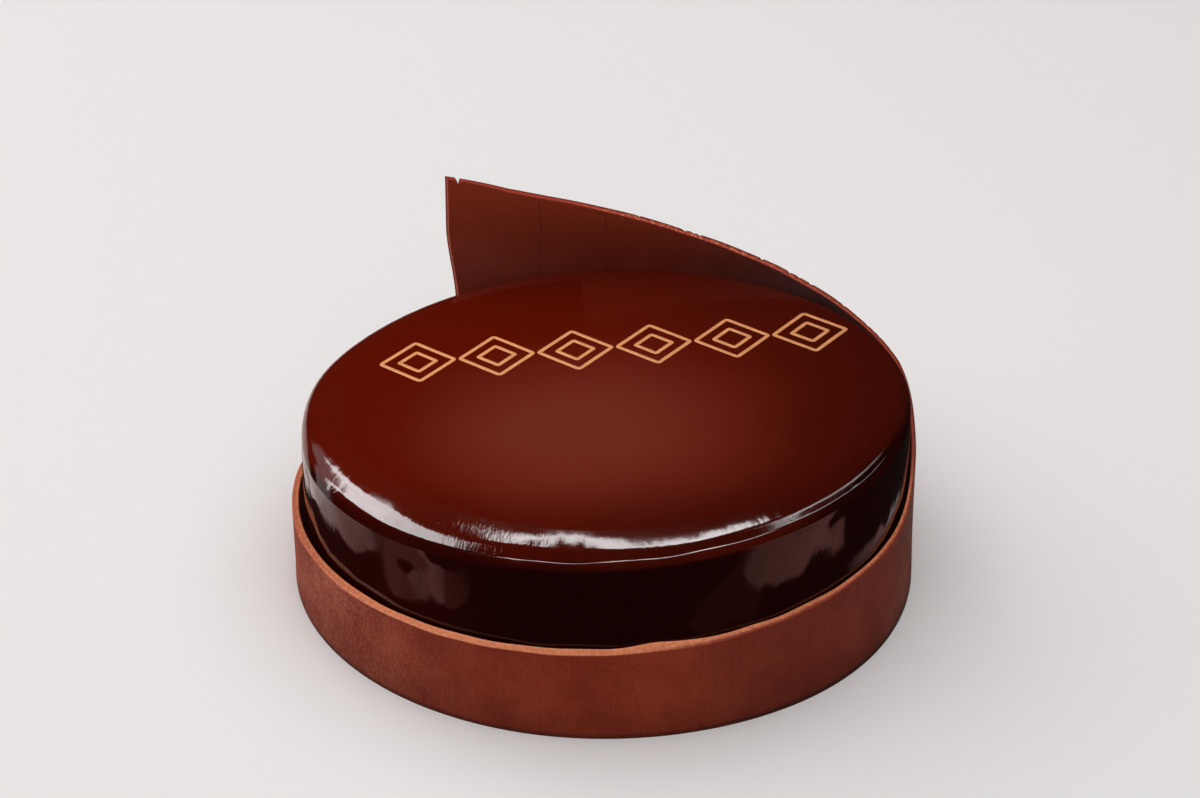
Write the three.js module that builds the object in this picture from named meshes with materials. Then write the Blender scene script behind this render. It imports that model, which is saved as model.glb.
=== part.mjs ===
// A round chocolate torte under a poured chocolate glaze, with a band of moulded chocolate wrapped
// round it. The band is low at the front, climbs at the right and ends in a tall point at the back.
//
// Millimetres, +Z up. The origin is on the table in the middle of the band, and -Y is the front.
// A bearing is an angle round the torte in degrees: 0 is the front, 90 the right, 180 the back.

import * as THREE from 'three';

// ---- Torte ----
const TORTE_RADIUS = 92.2; // at the table
const TORTE_SHIFT = 0.6; // it sits this far right of the band's middle
const TORTE_HEIGHT = 57.8; // in the middle
const WALL_TAPER = 0.01; // both walls lean in by this much for each millimetre of height
const FOOT_RADIUS = 1.2; // small round where the glaze meets the table
const LEAN_TO_RIGHT = 0.036; // the top rises by this much per millimetre towards +X
const LEAN_TO_BACK = -0.05; // and falls by this much per millimetre towards +Y
const SHOULDER = 6.3; // mean radius of the rounded top edge
const SHOULDER_FRONT = 0.8; // it is this much larger at the front
const SHOULDER_LEFT = 2.1; // and this much larger at the left

// ---- Band ----
const BAND_RADIUS = 95; // outside, at the table
const BAND_THICKNESS = 2.3;
const THIN_BEARING = 82; // where the band is thinnest
const THIN_LOSS = 0.9; // and how much thinner it is there
const RIM_SLOPE = 0.4; // the cut rim falls outwards by this much per millimetre
const TALL_END = 210.3; // bearing of the tall end
const SEAM = 1; // degrees between the tall end and the low end

// Height of the band's outer rim: an almost level stretch, a quick climb, then a long wing.
const FRONT_HEIGHT = 28.8;
const LEVEL_CLIMB = 0.047; // per degree, on the level stretch
const CLIMB_START = 66;
const CLIMB_END = 108;
const WING_FOOT = 54.4; // height where the wing starts
const WING_CLIMB = 0.089; // per degree, at the wing's start
const WING_CURVE = 0.0022; // per square degree
const PEAK_START = 198;
const PEAK_RISE = 1.9; // extra lift of the last few degrees

// The wing's end bends outwards above the torte.
const FLARE = 6;
const FLARE_START = 160; // bearing where it begins
const FLARE_FOOT = 46; // heights between which the wall swings out
const FLARE_TOP = 70;

// A small notch is broken out of the wing's rim, close to the tall end.
const NOTCH_BEARING = 207.9;
const NOTCH_DEPTH = 3.4;
const NOTCH_HALF_WIDTH = 0.8; // degrees

// ---- Facets ----
const ROUND_SEGMENTS = 96;
const SHOULDER_SEGMENTS = 6;
const BAND_COLUMNS = 150;
const BAND_ROWS = 9;
const RIM_STEPS = 2;
const COLUMN_CROWDING = 1.5; // over 1 crowds the columns towards the tall end

const { cos, sin, max, min, abs, PI } = Math;
const radians = (degrees) => (degrees * PI) / 180;

// 0 below a, 1 above b, smooth in between.
const smooth = (x, a, b) => THREE.MathUtils.smoothstep(x, a, b);

// Point at a bearing, a radius and a height.
function place(bearing, radius, height) {
  return [radius * sin(bearing), -radius * cos(bearing), height];
}

// Moves every vertex of a geometry to where rule(x, y, z) puts it.
function reshape(geometry, rule) {
  const at = geometry.attributes.position;
  for (let i = 0; i < at.count; i += 1) {
    at.setXYZ(i, ...rule(at.getX(i), at.getY(i), at.getZ(i)));
  }
  geometry.computeVertexNormals();
  return geometry;
}

// ---- The torte: a turned profile whose top is then leaned and its shoulder widened to the left ----

const wallTop = TORTE_HEIGHT - SHOULDER;
const topRadius = TORTE_RADIUS - WALL_TAPER * wallTop;

function torteProfile() {
  const profile = [
    new THREE.Vector2(0, 0),
    new THREE.Vector2(TORTE_RADIUS - FOOT_RADIUS, 0),
    new THREE.Vector2(TORTE_RADIUS, FOOT_RADIUS),
    new THREE.Vector2((TORTE_RADIUS + topRadius) / 2, wallTop / 2),
  ];
  for (let i = 0; i <= SHOULDER_SEGMENTS; i += 1) {
    const turn = (PI / 2) * (i / SHOULDER_SEGMENTS);
    const inward = SHOULDER * (1 - cos(turn));
    profile.push(new THREE.Vector2(topRadius - inward, wallTop + SHOULDER * sin(turn)));
  }
  profile.push(new THREE.Vector2(0, TORTE_HEIGHT));
  return profile;
}

function torteGeometry() {
  const geometry = new THREE.LatheGeometry(torteProfile(), ROUND_SEGMENTS).rotateX(PI / 2);

  return reshape(geometry, (x, y, z) => {
    const radius = Math.hypot(x, y);
    const bearing = Math.atan2(x, -y);
    const shoulder = SHOULDER + SHOULDER_FRONT * cos(bearing) - SHOULDER_LEFT * sin(bearing);
    const isRound = z >= wallTop - 0.01 && radius > topRadius - SHOULDER - 0.01;
    const grow = isRound ? shoulder / SHOULDER : 1;
    const reach = isRound ? topRadius - (topRadius - radius) * grow : radius;
    const rise = isRound ? TORTE_HEIGHT - (TORTE_HEIGHT - z) * grow : z;
    const [px, py] = place(bearing, reach, 0);
    const lean = LEAN_TO_RIGHT * px + LEAN_TO_BACK * py;
    return [px + TORTE_SHIFT, py, rise + lean * min(1, rise / wallTop)];
  });
}

// ---- The band: a long box, bent round the torte and cut to the height of its rim ----

function rimHeight(degrees) {
  const level = FRONT_HEIGHT + LEVEL_CLIMB * min(degrees, CLIMB_END);
  const along = max(0, degrees - CLIMB_END);
  const wing = WING_FOOT + WING_CLIMB * along + WING_CURVE * along * along;
  const peak = PEAK_RISE * max(0, (degrees - PEAK_START) / (TALL_END - PEAK_START));
  const notch = NOTCH_DEPTH * max(0, 1 - abs(degrees - NOTCH_BEARING) / NOTCH_HALF_WIDTH);
  return THREE.MathUtils.lerp(level, wing, smooth(degrees, CLIMB_START, CLIMB_END)) + peak - notch;
}

function thickness(degrees) {
  return BAND_THICKNESS - THIN_LOSS * max(0, cos(radians(degrees - THIN_BEARING))) ** 4;
}

function outerRadius(degrees, height) {
  const flare = FLARE * smooth(degrees, FLARE_START, TALL_END) ** 2 * smooth(height, FLARE_FOOT, FLARE_TOP);
  return BAND_RADIUS - WALL_TAPER * height + flare;
}

function bandGeometry() {
  const lowEnd = TALL_END + SEAM - 360;
  const sweep = TALL_END - lowEnd;
  const box = new THREE.BoxGeometry(1, 1, 1, BAND_COLUMNS, RIM_STEPS, BAND_ROWS);

  return reshape(box.translate(0.5, 0.5, 0.5), (along, inward, upward) => {
    const degrees = lowEnd + sweep * (1 - (1 - along) ** COLUMN_CROWDING);
    const depth = thickness(degrees) * inward;
    const height = (rimHeight(degrees) + RIM_SLOPE * depth) * upward;
    return place(radians(degrees), outerRadius(degrees, height) - depth, height);
  });
}

// ---- Materials and assembly ----

const glaze = new THREE.MeshStandardMaterial({ color: '#4a150c', roughness: 0.12, metalness: 0 });
const mouldedChocolate = new THREE.MeshStandardMaterial({ color: '#6e3020', roughness: 0.6, metalness: 0 });

const torte = new THREE.Mesh(torteGeometry(), glaze);
torte.name = 'glazed_torte';

const band = new THREE.Mesh(bandGeometry(), mouldedChocolate);
band.name = 'chocolate_band';

const cake = new THREE.Group();
cake.add(torte, band);

export default cake;
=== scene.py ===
"""A glazed chocolate torte in a chocolate band, dressed over its packed solids.

A bearing is an angle round the torte: 0 is the front (-Y), a quarter turn on is the right (+X),
half a turn is the back. Lengths are in metres, and angles in radians unless a name ends in _deg.
"""

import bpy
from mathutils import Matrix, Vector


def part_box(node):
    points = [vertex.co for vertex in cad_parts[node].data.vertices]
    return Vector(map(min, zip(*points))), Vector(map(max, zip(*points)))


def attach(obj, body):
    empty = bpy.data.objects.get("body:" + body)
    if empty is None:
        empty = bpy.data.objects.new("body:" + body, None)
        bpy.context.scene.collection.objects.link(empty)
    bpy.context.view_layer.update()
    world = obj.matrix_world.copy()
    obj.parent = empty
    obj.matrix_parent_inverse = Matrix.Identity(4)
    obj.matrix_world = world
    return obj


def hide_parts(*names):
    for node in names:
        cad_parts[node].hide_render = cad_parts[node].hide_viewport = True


bl_info = {
    "name": "Glazed torte in a chocolate band",
    "version": (1, 0, 0),
    "blender": (4, 5, 0),
    "location": "View3D > Sidebar > Torte",
    "description": "Builds the poured glaze, the moulded band, the gold line work and a plain studio",
    "category": "Object",
}

import bpy
import numpy as np
from bpy.props import FloatProperty, FloatVectorProperty, PointerProperty
from bpy.types import Operator, Panel, PropertyGroup
from mathutils import Matrix, Vector

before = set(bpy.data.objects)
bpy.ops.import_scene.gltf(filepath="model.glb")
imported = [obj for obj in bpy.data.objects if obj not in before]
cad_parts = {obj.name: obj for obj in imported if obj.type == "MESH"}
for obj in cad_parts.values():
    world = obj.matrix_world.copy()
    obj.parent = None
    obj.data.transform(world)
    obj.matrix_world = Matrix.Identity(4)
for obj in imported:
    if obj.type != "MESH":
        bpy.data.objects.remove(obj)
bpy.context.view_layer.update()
TORTE_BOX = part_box("glazed_torte")
BAND_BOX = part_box("chocolate_band")

MM = 0.001
TURN = 2 * np.pi


# ---- Properties ----


def length(name, description, default):
    """A length that a user can change, in metres."""
    return FloatProperty(
        name=name, description=description, default=default, subtype="DISTANCE", precision=5
    )


def angle(name, description, default_deg):
    """An angle that a user can change, stored in radians and shown in degrees."""
    return FloatProperty(
        name=name, description=description, default=np.radians(default_deg), subtype="ANGLE"
    )


def share(name, description, default):
    """A plain number that a user can change."""
    return FloatProperty(name=name, description=description, default=default, precision=4)


def colour(name, description, default):
    """A colour that a user can change, given as the usual 0 to 255 screen values."""
    return FloatVectorProperty(
        name=name, description=description, default=[to_linear(c) for c in default], subtype="COLOR",
        size=3, min=0, max=1,
    )


def to_linear(level):
    """Scene-linear value of a screen level from 0 to 255, by the standard sRGB curve."""
    c = level / 255
    return c / 12.92 if c <= 0.04045 else ((c + 0.055) / 1.055) ** 2.4


class TorteSizes(PropertyGroup):
    """Sizes of the glazed torte."""

    radius: length("Radius", "Radius of the wall at the table", (TORTE_BOX[1].x - TORTE_BOX[0].x) / 2)
    shift: length("Shift", "How far right of the band's middle it sits", 0.6 * MM)
    height: length("Height", "Height in the middle", 57.8 * MM)
    taper: share("Taper", "Lean of the walls, as a slope", 0.01)
    lean_right: share("Lean to the right", "Slope of the top towards the right", 0.036)
    lean_back: share("Lean to the back", "Slope of the top towards the back", -0.05)
    foot: length("Foot", "Round where the glaze meets the table", 1.2 * MM)
    shoulder_drop: length("Shoulder drop", "Height of the broad front shoulder", 6.6 * MM)
    shoulder_reach: length("Shoulder reach", "Width of the broad front shoulder", 11.0 * MM)
    edge_round: length("Edge round", "Mean radius of the round edge at the sides and back", 6.3 * MM)
    edge_front: length("Rounder front", "How much rounder the edge is at the front", 0.8 * MM)
    edge_left: length("Rounder left", "How much rounder the edge is at the left", 2.1 * MM)
    edge_crisp: length("Crisper back left", "How much less round the edge is at its crispest", 2.5 * MM)
    crisp_bearing: angle("Crisp bearing", "Bearing where the edge is least round", -101)
    crisp_width: angle("Crisp width", "How far round the crisper edge reaches", 11.5)
    roll_slope: angle("Roll", "Steepness of the broad upper roll of the shoulder", 24)
    fall_slope: angle("Fall", "Steepness of the short fall below it", 48)
    lip_slope: angle("Lip", "Steepness of the lip above the wall", 15)
    ripple: length("Ripple", "Height of the waves in the glaze on the shoulder", 0.022 * MM)
    wall_wave: length("Wall waves", "Height of the broad waves in the wall", 0.10 * MM)


class BandSizes(PropertyGroup):
    """Sizes of the chocolate band."""

    radius: length("Radius", "Outer radius at the table", (BAND_BOX[1].x - BAND_BOX[0].x) / 2)
    thickness: length("Thickness", "Thickness of the wall", 2.3 * MM)
    thin_bearing: angle("Thin side", "Bearing where the wall is thinnest", 82)
    thin_loss: length("Thinning", "How much thinner it is there", 0.9 * MM)
    rim_slope: share("Rim slope", "How steeply the cut rim falls outwards", 0.4)
    wing_rim_slope: share("Wing rim slope", "The same, along the wing", -0.15)
    tall_end: angle("Tall end", "Bearing of the tall end", 210.3)
    seam: angle("Seam", "Gap between the two ends", 1)
    front_height: length("Front height", "Height of the rim at the front", 28.8 * MM)
    level_climb_deg: length("Level climb", "Rise for each degree of the low stretch", 0.047 * MM)
    climb_start: angle("Climb start", "Bearing where the quick climb begins", 66)
    climb_end: angle("Climb end", "Bearing where it ends", 108)
    wing_foot: length("Wing foot", "Height where the wing begins", 54.4 * MM)
    wing_climb_deg: length("Wing climb", "Rise for each degree at the wing's start", 0.089 * MM)
    wing_curve_deg: length("Wing curve", "Rise for each square degree along the wing", 0.0022 * MM)
    peak_start: angle("Peak start", "Bearing where the last lift begins", 198)
    peak_rise: length("Peak rise", "Extra height at the tall end", 1.9 * MM)
    flare: length("Flare", "How far the tall end bends outwards", 6 * MM)
    flare_start: angle("Flare start", "Bearing where the outward bend begins", 160)
    flare_foot: length("Flare foot", "Height below which nothing bends", 46 * MM)
    flare_top: length("Flare top", "Height where the bend is whole", 70 * MM)
    notch_bearing: angle("Notch", "Bearing of the small notch by the tall end", 207.9)
    notch_depth: length("Notch depth", "Depth of the notch", 3.4 * MM)
    notch_half_width: angle("Notch half width", "Half the width of the notch", 0.5)
    wing_lift: length("Wing lift", "Extra height of the wing up to its tall end", 1.35 * MM)
    foot_swell: length("Foot swell", "Outward swell of the foot at the front right", 1.2 * MM)
    left_swing: length("Left swing", "How far the rim leans outwards at the left", 0.6 * MM)
    chip_depth: length("Chips", "Depth of the chips along the wing's outer edge", 0.7 * MM)


class PatternSizes(PropertyGroup):
    """Sizes of the gold line work."""

    middle_x: length("Middle X", "Place of the row's middle, to the right", 3.5 * MM)
    middle_y: length("Middle Y", "Place of the row's middle, to the back", 32.5 * MM)
    turn: angle("Turn", "Turn of the row, anticlockwise from above", 5.7)
    pitch: length("Pitch", "Distance between two motifs", 24.4 * MM)
    half_width: length("Half width", "Half the width of a motif", 11.4 * MM)
    half_height: length("Half height", "Half the height of a motif", 13.0 * MM)
    inset: length("Inset", "Distance between the two outlines", 4.3 * MM)
    stroke: length("Stroke", "Width of a line", 1.45 * MM)
    film: length("Film", "How proud the lines stand", 0.1 * MM)


class Looks(PropertyGroup):
    """Colours of the finishes, several of which also paint light and shade."""

    # The top's colours paint light: the middle colour is lighter and greyer as a painted pool of light and
    # reflection, and the edge colour is darker as painted shade near the shoulder and at the right.
    glaze_lit_middle: colour("Glaze, middle", "Glaze in the middle of the top", (112, 43, 31))
    glaze: colour("Glaze", "Glaze over most of the top", (94, 17, 3))
    glaze_shaded_edge: colour("Glaze, edge", "Glaze near the shoulder, at the right", (62, 11, 3))
    # The two wall colours stand for light, not for how thick the glaze lies: the wall is painted dark as
    # shade, and lighter at the left, where light is painted.
    glaze_wall_shade: colour("Glaze, wall", "Glaze on the wall, where it lies thick", (30, 3, 2))
    glaze_wall_lit: colour("Glaze, thin", "Glaze on the wall, where it lies thin", (44, 6, 3))
    band: colour("Band", "Moulded chocolate", (144, 49, 23))
    band_dark: colour("Band, dark mottle", "Darker clouds in the moulded chocolate", (125, 38, 16))
    # Painted light: the wing's inner face is lighter towards its top.
    band_wing_lit: colour("Band, light", "Top of the wing's inner face", (166, 66, 40))
    # This dark colour serves the pits and cracks, and also painted shade: on the band towards the right,
    # low down and at its foot, on the wing's inner face low down and to the right, and in the outer half of
    # the wing's rim.
    band_marks_and_shade: colour("Band, shade", "Grain, cracks and the far side of the wing", (48, 12, 6))
    # This pale colour is a little bloom all over the outer face, and at the left and the far right mostly a
    # painted sheen and painted light.
    band_bloom_and_sheen: colour("Band, bloom", "Pale bloom on the outer face", (186, 110, 82))
    rim: colour("Rim", "Cut rim of the band where it is low", (248, 150, 102))
    wing_rim: colour("Wing rim", "Cut rim along the wing, inner half", (165, 50, 28))
    gold: colour("Gold", "Line work on the top", (243, 158, 96))
    floor: colour("Floor", "Plain studio floor", (233, 230, 229))


class StageSettings(PropertyGroup):
    """The camera, the lights and the floor."""

    camera_pitch: angle("Camera pitch", "How far the camera looks down", 30.55)
    lens: length("Lens", "Focal length on a 36 mm wide sensor", 101.64 * MM)
    left_power: share("Left", "Power of the light at the left, in watts", 3.6)
    back_left_power: share("Back left", "Power of the light behind the cake at the left, in watts", 6.0)
    top_power: share("Top", "Power of the light overhead, in watts", 11.3)
    front_power: share("Front", "Power of the light at the front, in watts", 2.5)
    even_power: share("Even", "Power of the wide light that casts no shadow, in watts", 23.6)
    shine: share("Shine", "Brightness of the cards that are seen in the shoulder", 22.0)
    world_level: share("Room", "Light of the room all round", 0.012)


# ---- Numbers ----


def smooth(x, low, high):
    """0 below low, 1 above high, and an S-shaped cubic between them."""
    t = np.clip((x - low) / (high - low), 0, 1)
    return t * t * (3 - 2 * t)


def bell(x, middle, width):
    """A bell curve of height 1: e to the minus half the squared distance in widths."""
    return np.exp(-0.5 * ((x - middle) / width) ** 2)


def waves(x, y, scale_x, scale_y, count, seed):
    """Uneven waves of about unit height over a plane: a sum of seeded sines, each with its own
    direction and phase, with wavelengths spread round scale_x and scale_y."""
    rng = np.random.default_rng(seed)
    total = np.zeros(np.broadcast(x, y).shape)
    for _ in range(count):
        heading = rng.uniform(0, TURN)
        stretch = rng.uniform(0.6, 1.7)
        phase = rng.uniform(0, TURN)
        total += np.sin(
            TURN * (x * np.cos(heading) / scale_x + y * np.sin(heading) / scale_y) * stretch + phase
        )
    return total / np.sqrt(count / 2)


def ring_waves(bearing, along, cycles, scale, count, seed):
    """Uneven waves round a closed ring: a sum of seeded sines with a whole number of cycles round
    the ring, near the number given, and a wavelength near scale along the other way."""
    rng = np.random.default_rng(seed)
    total = np.zeros(np.broadcast(bearing, along).shape)
    for _ in range(count):
        turns = rng.integers(int(cycles * 0.5), int(cycles * 1.6) + 1)
        slope = rng.uniform(-1, 1) * TURN / scale
        total += np.sin(turns * bearing + slope * along + rng.uniform(0, TURN))
    return total / np.sqrt(count / 2)


def on_ring(bearing, radius, height):
    """Points at a bearing, a radius and a height: x is radius times the sine of the bearing, and y
    is minus radius times its cosine."""
    return np.stack(
        np.broadcast_arrays(radius * np.sin(bearing), -radius * np.cos(bearing), height), axis=-1
    )


# ---- Meshes ----


def grid_quads(rows, columns, rows_close=False, columns_close=False):
    """Corner numbers of the quads of a grid that is stored row by row. Either way may close."""
    r = np.arange(rows if rows_close else rows - 1)[:, None]
    c = np.arange(columns if columns_close else columns - 1)[None, :]
    r1, c1 = (r + 1) % rows, (c + 1) % columns
    corners = [r * columns + c, r * columns + c1, r1 * columns + c1, r1 * columns + c]
    return np.stack(np.broadcast_arrays(*corners), axis=-1).reshape(-1, 4)


def fan(centre, ring):
    """Triangles from one vertex to each edge of a closed ring of vertices."""
    return np.stack([np.full(len(ring), centre), ring, np.roll(ring, -1)], axis=-1)


def add_piece(name, points, face_groups, material, body="root"):
    """Makes a mesh object from an array of points and groups of equal-sided faces, smooth shaded,
    with its place in its mesh, and lets it ride on a body of the frame."""
    mesh = bpy.data.meshes.new(name)
    corners = np.concatenate([g.ravel() for g in face_groups]).astype(np.int32)
    sides = np.concatenate([np.full(len(g), g.shape[1]) for g in face_groups])
    starts = np.concatenate([[0], np.cumsum(sides)[:-1]]).astype(np.int32)
    mesh.vertices.add(len(points))
    mesh.vertices.foreach_set("co", points.astype(np.float32).ravel())
    mesh.loops.add(len(corners))
    mesh.loops.foreach_set("vertex_index", corners)
    mesh.polygons.add(len(starts))
    mesh.polygons.foreach_set("loop_start", starts)
    mesh.update(calc_edges=True)
    if mesh.validate():
        raise RuntimeError(f"the mesh of {name} has faulty faces")
    mesh.shade_smooth()
    mesh.materials.append(material)
    piece = bpy.data.objects.new(name, mesh)
    bpy.context.scene.collection.objects.link(piece)
    if body:
        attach(piece, body)
    return piece


# ---- Shader maths ----


class Value:
    """A shader socket that takes part in Python arithmetic: each operator adds a Math node."""

    def __init__(self, shader, socket):
        self.shader = shader
        self.socket = socket

    def math(self, operation, *numbers):
        return self.shader.math(operation, self, *numbers)

    def __add__(self, other):
        return self.math("ADD", other)

    __radd__ = __add__

    def __sub__(self, other):
        return self.math("SUBTRACT", other)

    def __rsub__(self, other):
        return self.shader.math("SUBTRACT", other, self)

    def __mul__(self, other):
        return self.math("MULTIPLY", other)

    __rmul__ = __mul__

    def __truediv__(self, other):
        return self.math("DIVIDE", other)

    def __rtruediv__(self, other):
        return self.shader.math("DIVIDE", other, self)

    def __pow__(self, other):
        return self.math("POWER", other)


class Shader:
    """A node tree under construction. node() adds any node, and the other methods name the few
    combinations that the finishes use."""

    def __init__(self, tree):
        self.tree = tree
        tree.nodes.clear()

    def node(self, kind, settings=None, inputs=None):
        """Adds a node, sets its settings first, then fills or links its sockets, and returns it."""
        made = self.tree.nodes.new(kind)
        for name, value in (settings or {}).items():
            setattr(made, name, value)
        for name, value in (inputs or {}).items():
            if isinstance(value, Value):
                self.tree.links.new(value.socket, made.inputs[name])
            else:
                made.inputs[name].default_value = value
        return made

    def value(self, kind, settings=None, inputs=None, output=0):
        """Adds a node and returns one of its outputs."""
        return Value(self, self.node(kind, settings, inputs).outputs[output])

    def math(self, operation, *numbers):
        return self.value("ShaderNodeMath", {"operation": operation}, dict(enumerate(numbers)))

    def ramp(self, x, low, high, out_low=0.0, out_high=1.0):
        """An S-shaped step: out_low where x is under low, out_high where it is over high."""
        inputs = {"Value": x, "From Min": low, "From Max": high, "To Min": out_low, "To Max": out_high}
        return self.value("ShaderNodeMapRange", {"interpolation_type": "SMOOTHSTEP"}, inputs)

    def blend(self, factor, a, b):
        """Colour a where factor is 0 and colour b where it is 1."""
        inputs = {0: factor, 6: a, 7: b}
        return self.value("ShaderNodeMix", {"data_type": "RGBA"}, inputs, output=2)

    def vector(self, x, y, z):
        return self.value("ShaderNodeCombineXYZ", inputs={0: x, 1: y, 2: z})

    def noise(self, vector, scale, detail=3.0, roughness=0.5, distortion=0.0):
        """Cloudy noise from 0 to 1 with its mean at a half."""
        inputs = {
            "Vector": vector, "Scale": scale, "Detail": detail,
            "Roughness": roughness, "Distortion": distortion,
        }
        return self.value("ShaderNodeTexNoise", inputs=inputs)

    def place(self):
        """Object coordinates: the whole vector, then x, y and z."""
        whole = self.value("ShaderNodeTexCoord", output="Object")
        split = self.node("ShaderNodeSeparateXYZ", inputs={"Vector": whole})
        return whole, *(Value(self, split.outputs[i]) for i in range(3))

    def bump(self, height, distance, strength=1.0, normal=None):
        """A normal bent by a height from 0 to 1 that stands for a distance in metres."""
        inputs = {"Height": height, "Distance": distance, "Strength": strength}
        if normal:
            inputs["Normal"] = normal
        return self.value("ShaderNodeBump", inputs=inputs)


def new_material(name):
    """An empty material and the shader that fills it."""
    material = bpy.data.materials.new(name)
    material.use_nodes = True
    return material, Shader(material.node_tree)


def finish_material(shader, inputs):
    """Ends a material in one Principled shader."""
    surface = shader.value("ShaderNodeBsdfPrincipled", inputs=inputs)
    shader.node("ShaderNodeOutputMaterial", inputs={"Surface": surface})


def rgba(value):
    return (*value[:3], 1.0)


# ---- Finishes ----


def glaze_material(looks, sizes):
    """Poured chocolate glaze: red-brown on the top and nearly black on the wall, a darkness that is painted
    shade. The top has a painted pool of light and reflection that makes its middle lighter and greyer, and
    painted shade towards the shoulder, the front and the right. It is mirror smooth with a fine drag in it
    near the shoulder."""
    material, s = new_material("poured_glaze")
    whole, x, y, z = s.place()
    radius = (x * x + y * y) ** 0.5
    surface_height = z - x * sizes.lean_right - y * sizes.lean_back

    clouds = s.noise(whole, 14, 2.0, 0.5)
    # Painted light and shade on the top: lightest and greyest round a point 15 mm left of and 20 mm in
    # front of the middle, and darker towards the shoulder, the front and the right.
    right_of_lightest, behind_lightest = x + 15 * MM, y + 20 * MM
    from_lightest = (right_of_lightest ** 2.0 + behind_lightest ** 2.0) ** 0.5
    from_lightest = from_lightest + (clouds - 0.5) * (20 * MM)
    towards_edge = s.ramp(from_lightest + x * 0.3 - y * 0.2, 30 * MM, 135 * MM)
    towards_edge = towards_edge + s.ramp(y, -75 * MM, -40 * MM, 0.5, 0.0) * (1.0 - towards_edge)
    on_top = s.blend(towards_edge, rgba(looks.glaze), rgba(looks.glaze_shaded_edge))
    around = s.ramp(from_lightest - x * 0.2, 10 * MM, 70 * MM)
    on_top = s.blend(around, rgba(looks.glaze_lit_middle), on_top)

    patches = s.noise(whole, 22, 3.0, 0.55)
    # Painted light and shade on the wall: lighter at the left, with a ragged border, and dark elsewhere.
    thin = s.ramp(x + (patches - 0.5) * (40 * MM), -60 * MM, -25 * MM, 1.0, 0.0)
    on_wall = s.blend(thin, rgba(looks.glaze_wall_shade), rgba(looks.glaze_wall_lit))
    # The wall's painted shade reaches up to 4 mm higher towards the right, over the lower shoulder.
    wall_depth = sizes.height - surface_height + s.ramp(x, 45 * MM, 80 * MM, 0.0, 4 * MM)
    is_wall = s.ramp(wall_depth, 5.5 * MM, 8 * MM)
    body = s.blend(is_wall, on_top, on_wall)

    round_x, round_y = x / radius, y / radius
    slant = z - radius
    drag = s.noise(s.vector(round_x * 60, round_y * 60, slant * 160), 1.0, 4.0, 0.6, 0.4)
    wrinkles = s.noise(s.vector(round_x * 90, round_y * 90, slant * 160), 1.0, 2.0, 0.5, 1.2)
    wrinkled = s.ramp(round_x, -0.60, -0.50) * s.ramp(round_x, -0.34, -0.12, 1.0, 0.0)
    wrinkled = wrinkled * s.ramp(y, -60 * MM, -50 * MM, 1.0, 0.0)
    skin = s.noise(whole, 90, 3.0, 0.5)
    pores = s.noise(whole, 700, 2.0, 0.5)
    near_shoulder = s.ramp(radius, sizes.radius - 14 * MM, sizes.radius - 9 * MM)
    on_shoulder = near_shoulder * (1.0 - is_wall)
    bent = s.bump(skin, 0.02 * MM)
    bent = s.bump(drag * near_shoulder, 0.03 * MM, normal=bent)
    bent = s.bump(pores * on_shoulder, 0.012 * MM, normal=bent)
    bent = s.bump(wrinkles * wrinkled * on_shoulder, 0.05 * MM, normal=bent)

    specks = s.ramp(s.noise(whole, 700, 1.0, 0.5), 0.76, 0.80)
    roughness = s.ramp(clouds, 0.3, 0.7, 0.04, 0.07) + specks * 0.15 + on_shoulder * patches * 0.05
    roughness = roughness + (1.0 - near_shoulder) * 0.06
    finish_material(s, {"Base Color": body, "Roughness": roughness, "IOR": 1.4, "Normal": bent})
    return material


# Hairline cracks down the wing's inner face: how far right each is, and how dark.
CRACKS = ((-20.4 * MM, 0.4), (0.6 * MM, 0.35), (35.2 * MM, 0.2))


def cut_rim(s, looks, whole, x, z, inward, left):
    """Colour of the cut rim. Where it is low it is pale, but duller at the left and in its outer half, and
    at the right, where it is narrower and darkened in painted shade. Along the wing its outer half is
    painted dark as the shade in its chips, and its inner half red, with pale flecks; both darken towards
    the right in painted shade."""
    cut = s.noise(whole, 900, 3.0, 0.6)
    narrow = s.ramp(x, 0.0, 40 * MM, 0.0, 0.7) * s.ramp(inward, 0.2, 0.45, 1.0, 0.0)
    duller = s.ramp(cut, 0.40, 0.62, 0.22, 0.0) + s.ramp(inward, 0.5, 0.75, 0.2, 0.0)
    duller = duller + left * left * 0.42 + narrow + s.ramp(x, 20 * MM, 70 * MM, 0.0, 0.2)
    low_rim = s.blend(s.math("MINIMUM", duller, 1.0), rgba(looks.rim), rgba(looks.band))

    # Painted shade: the outer half of the wing's rim is painted dark as the shade in its chips, darker
    # towards the right.
    dark_share = s.ramp(x, -20 * MM, 10 * MM, 0.0, 0.5)
    shaded_outer_half = s.blend(dark_share, rgba(looks.band_dark), rgba(looks.band_marks_and_shade))
    high_rim = s.blend(s.ramp(inward, 0.45, 0.65), shaded_outer_half, rgba(looks.wing_rim))
    # Painted shade: the wing's rim darkens towards the right.
    high_rim = s.blend(s.ramp(x, 30 * MM, 70 * MM, 0.0, 0.45), high_rim, rgba(looks.band_dark))
    cut_face = s.blend(s.ramp(z, 33 * MM, 44 * MM, 1.0, 0.0), high_rim, low_rim)
    flecks = s.ramp(cut, 0.50, 0.62, 0.0, 0.5) * s.ramp(inward, 0.2, 0.5)
    flecks = flecks * s.ramp(x, -12 * MM, 4 * MM) * s.ramp(x, 30 * MM, 60 * MM, 1.0, 0.3)
    return s.blend(flecks, cut_face, rgba(looks.rim))


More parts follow.
